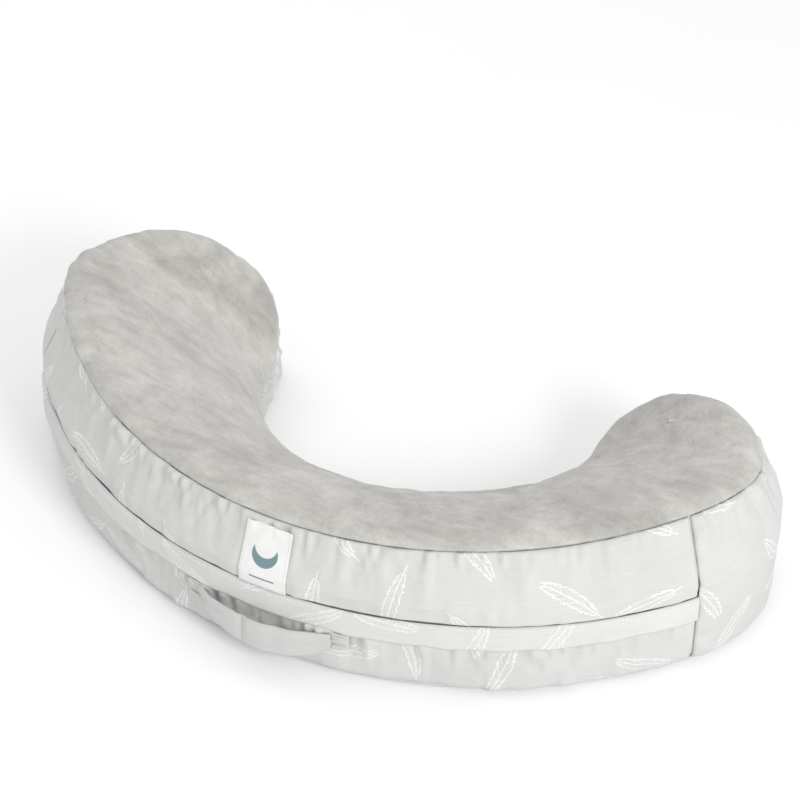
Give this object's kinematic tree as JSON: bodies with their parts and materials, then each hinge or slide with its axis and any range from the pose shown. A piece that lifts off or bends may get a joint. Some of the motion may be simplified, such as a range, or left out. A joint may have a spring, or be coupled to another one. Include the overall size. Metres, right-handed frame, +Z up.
{
  "type": "nursing pillow",
  "caption": "Crescent nursing pillow: firm foam core, plush top, printed cotton sides, carry handle, and a zip-off cover whose curved zipper runs under a flap.",
  "frame": {"origin": "middle of the bounding box in X and Y, at the floor", "axes": "+X from wing to wing, +Y towards the open side, +Z up"},
  "size_m": [0.624, 0.3268, 0.1369],
  "materials": {
    "plush": "matte short pile",
    "printed_cotton": "matte weave",
    "plain_cotton": "matte weave",
    "liner_fabric": "matte",
    "foam": "matte",
    "zipper_tape": "matte",
    "zipper_coil": "satin",
    "zipper_metal": "satin",
    "label": "smooth woven",
    "thread": "matte"
  },
  "bodies": {
    "cover_and_core": {"foam_core": "foam", "core_liner": "liner_fabric", "top_panel": "plush", "front_panel": "printed_cotton", "lower_band": "printed_cotton", "wing_panel": "printed_cotton", "bottom_panel": "plain_cotton", "zipper_tape_upper": "zipper_tape", "zipper_tape_lower": "zipper_tape", "zipper_coil_upper": "zipper_coil", "zipper_coil_lower": "zipper_coil", "zipper_end_stops": "zipper_metal", "handle_tabs": "printed_cotton", "handle_bartacks": "thread", "front_label": "label", "care_label": "label"},
    "zipper_slider": {"zipper_slider": "zipper_metal"},
    "zipper_pull": {"zipper_pull": "zipper_metal"},
    "zipper_flap": {"zipper_flap": "printed_cotton"},
    "carry_handle": {"carry_handle": "printed_cotton"}
  },
  "joints": [
    {"name": "zip_travel", "type": "hinge", "parent": "cover_and_core", "child": "zipper_slider", "pos_m": [0, 0.21508, 0.059], "axis": [0, 0, 1], "range_deg": [0, 93]},
    {"name": "pull_flip", "type": "hinge", "parent": "zipper_slider", "child": "zipper_pull", "pos_m": [-0.26139, -0.03297, 0.059], "axis": [0, 0, -1], "range_deg": [0, 178], "deforming": ["zipper_flap"]},
    {"name": "flap_lift", "type": "slide", "parent": "cover_and_core", "child": "zipper_flap", "axis": [0, 0, 1], "range_m": [0, 0.018]},
    {"name": "handle_swing", "type": "hinge", "parent": "cover_and_core", "child": "carry_handle", "pos_m": [0, -0.14668, 0.047], "axis": [-1, 0, 0], "range_deg": [0, 70]}
  ]
}
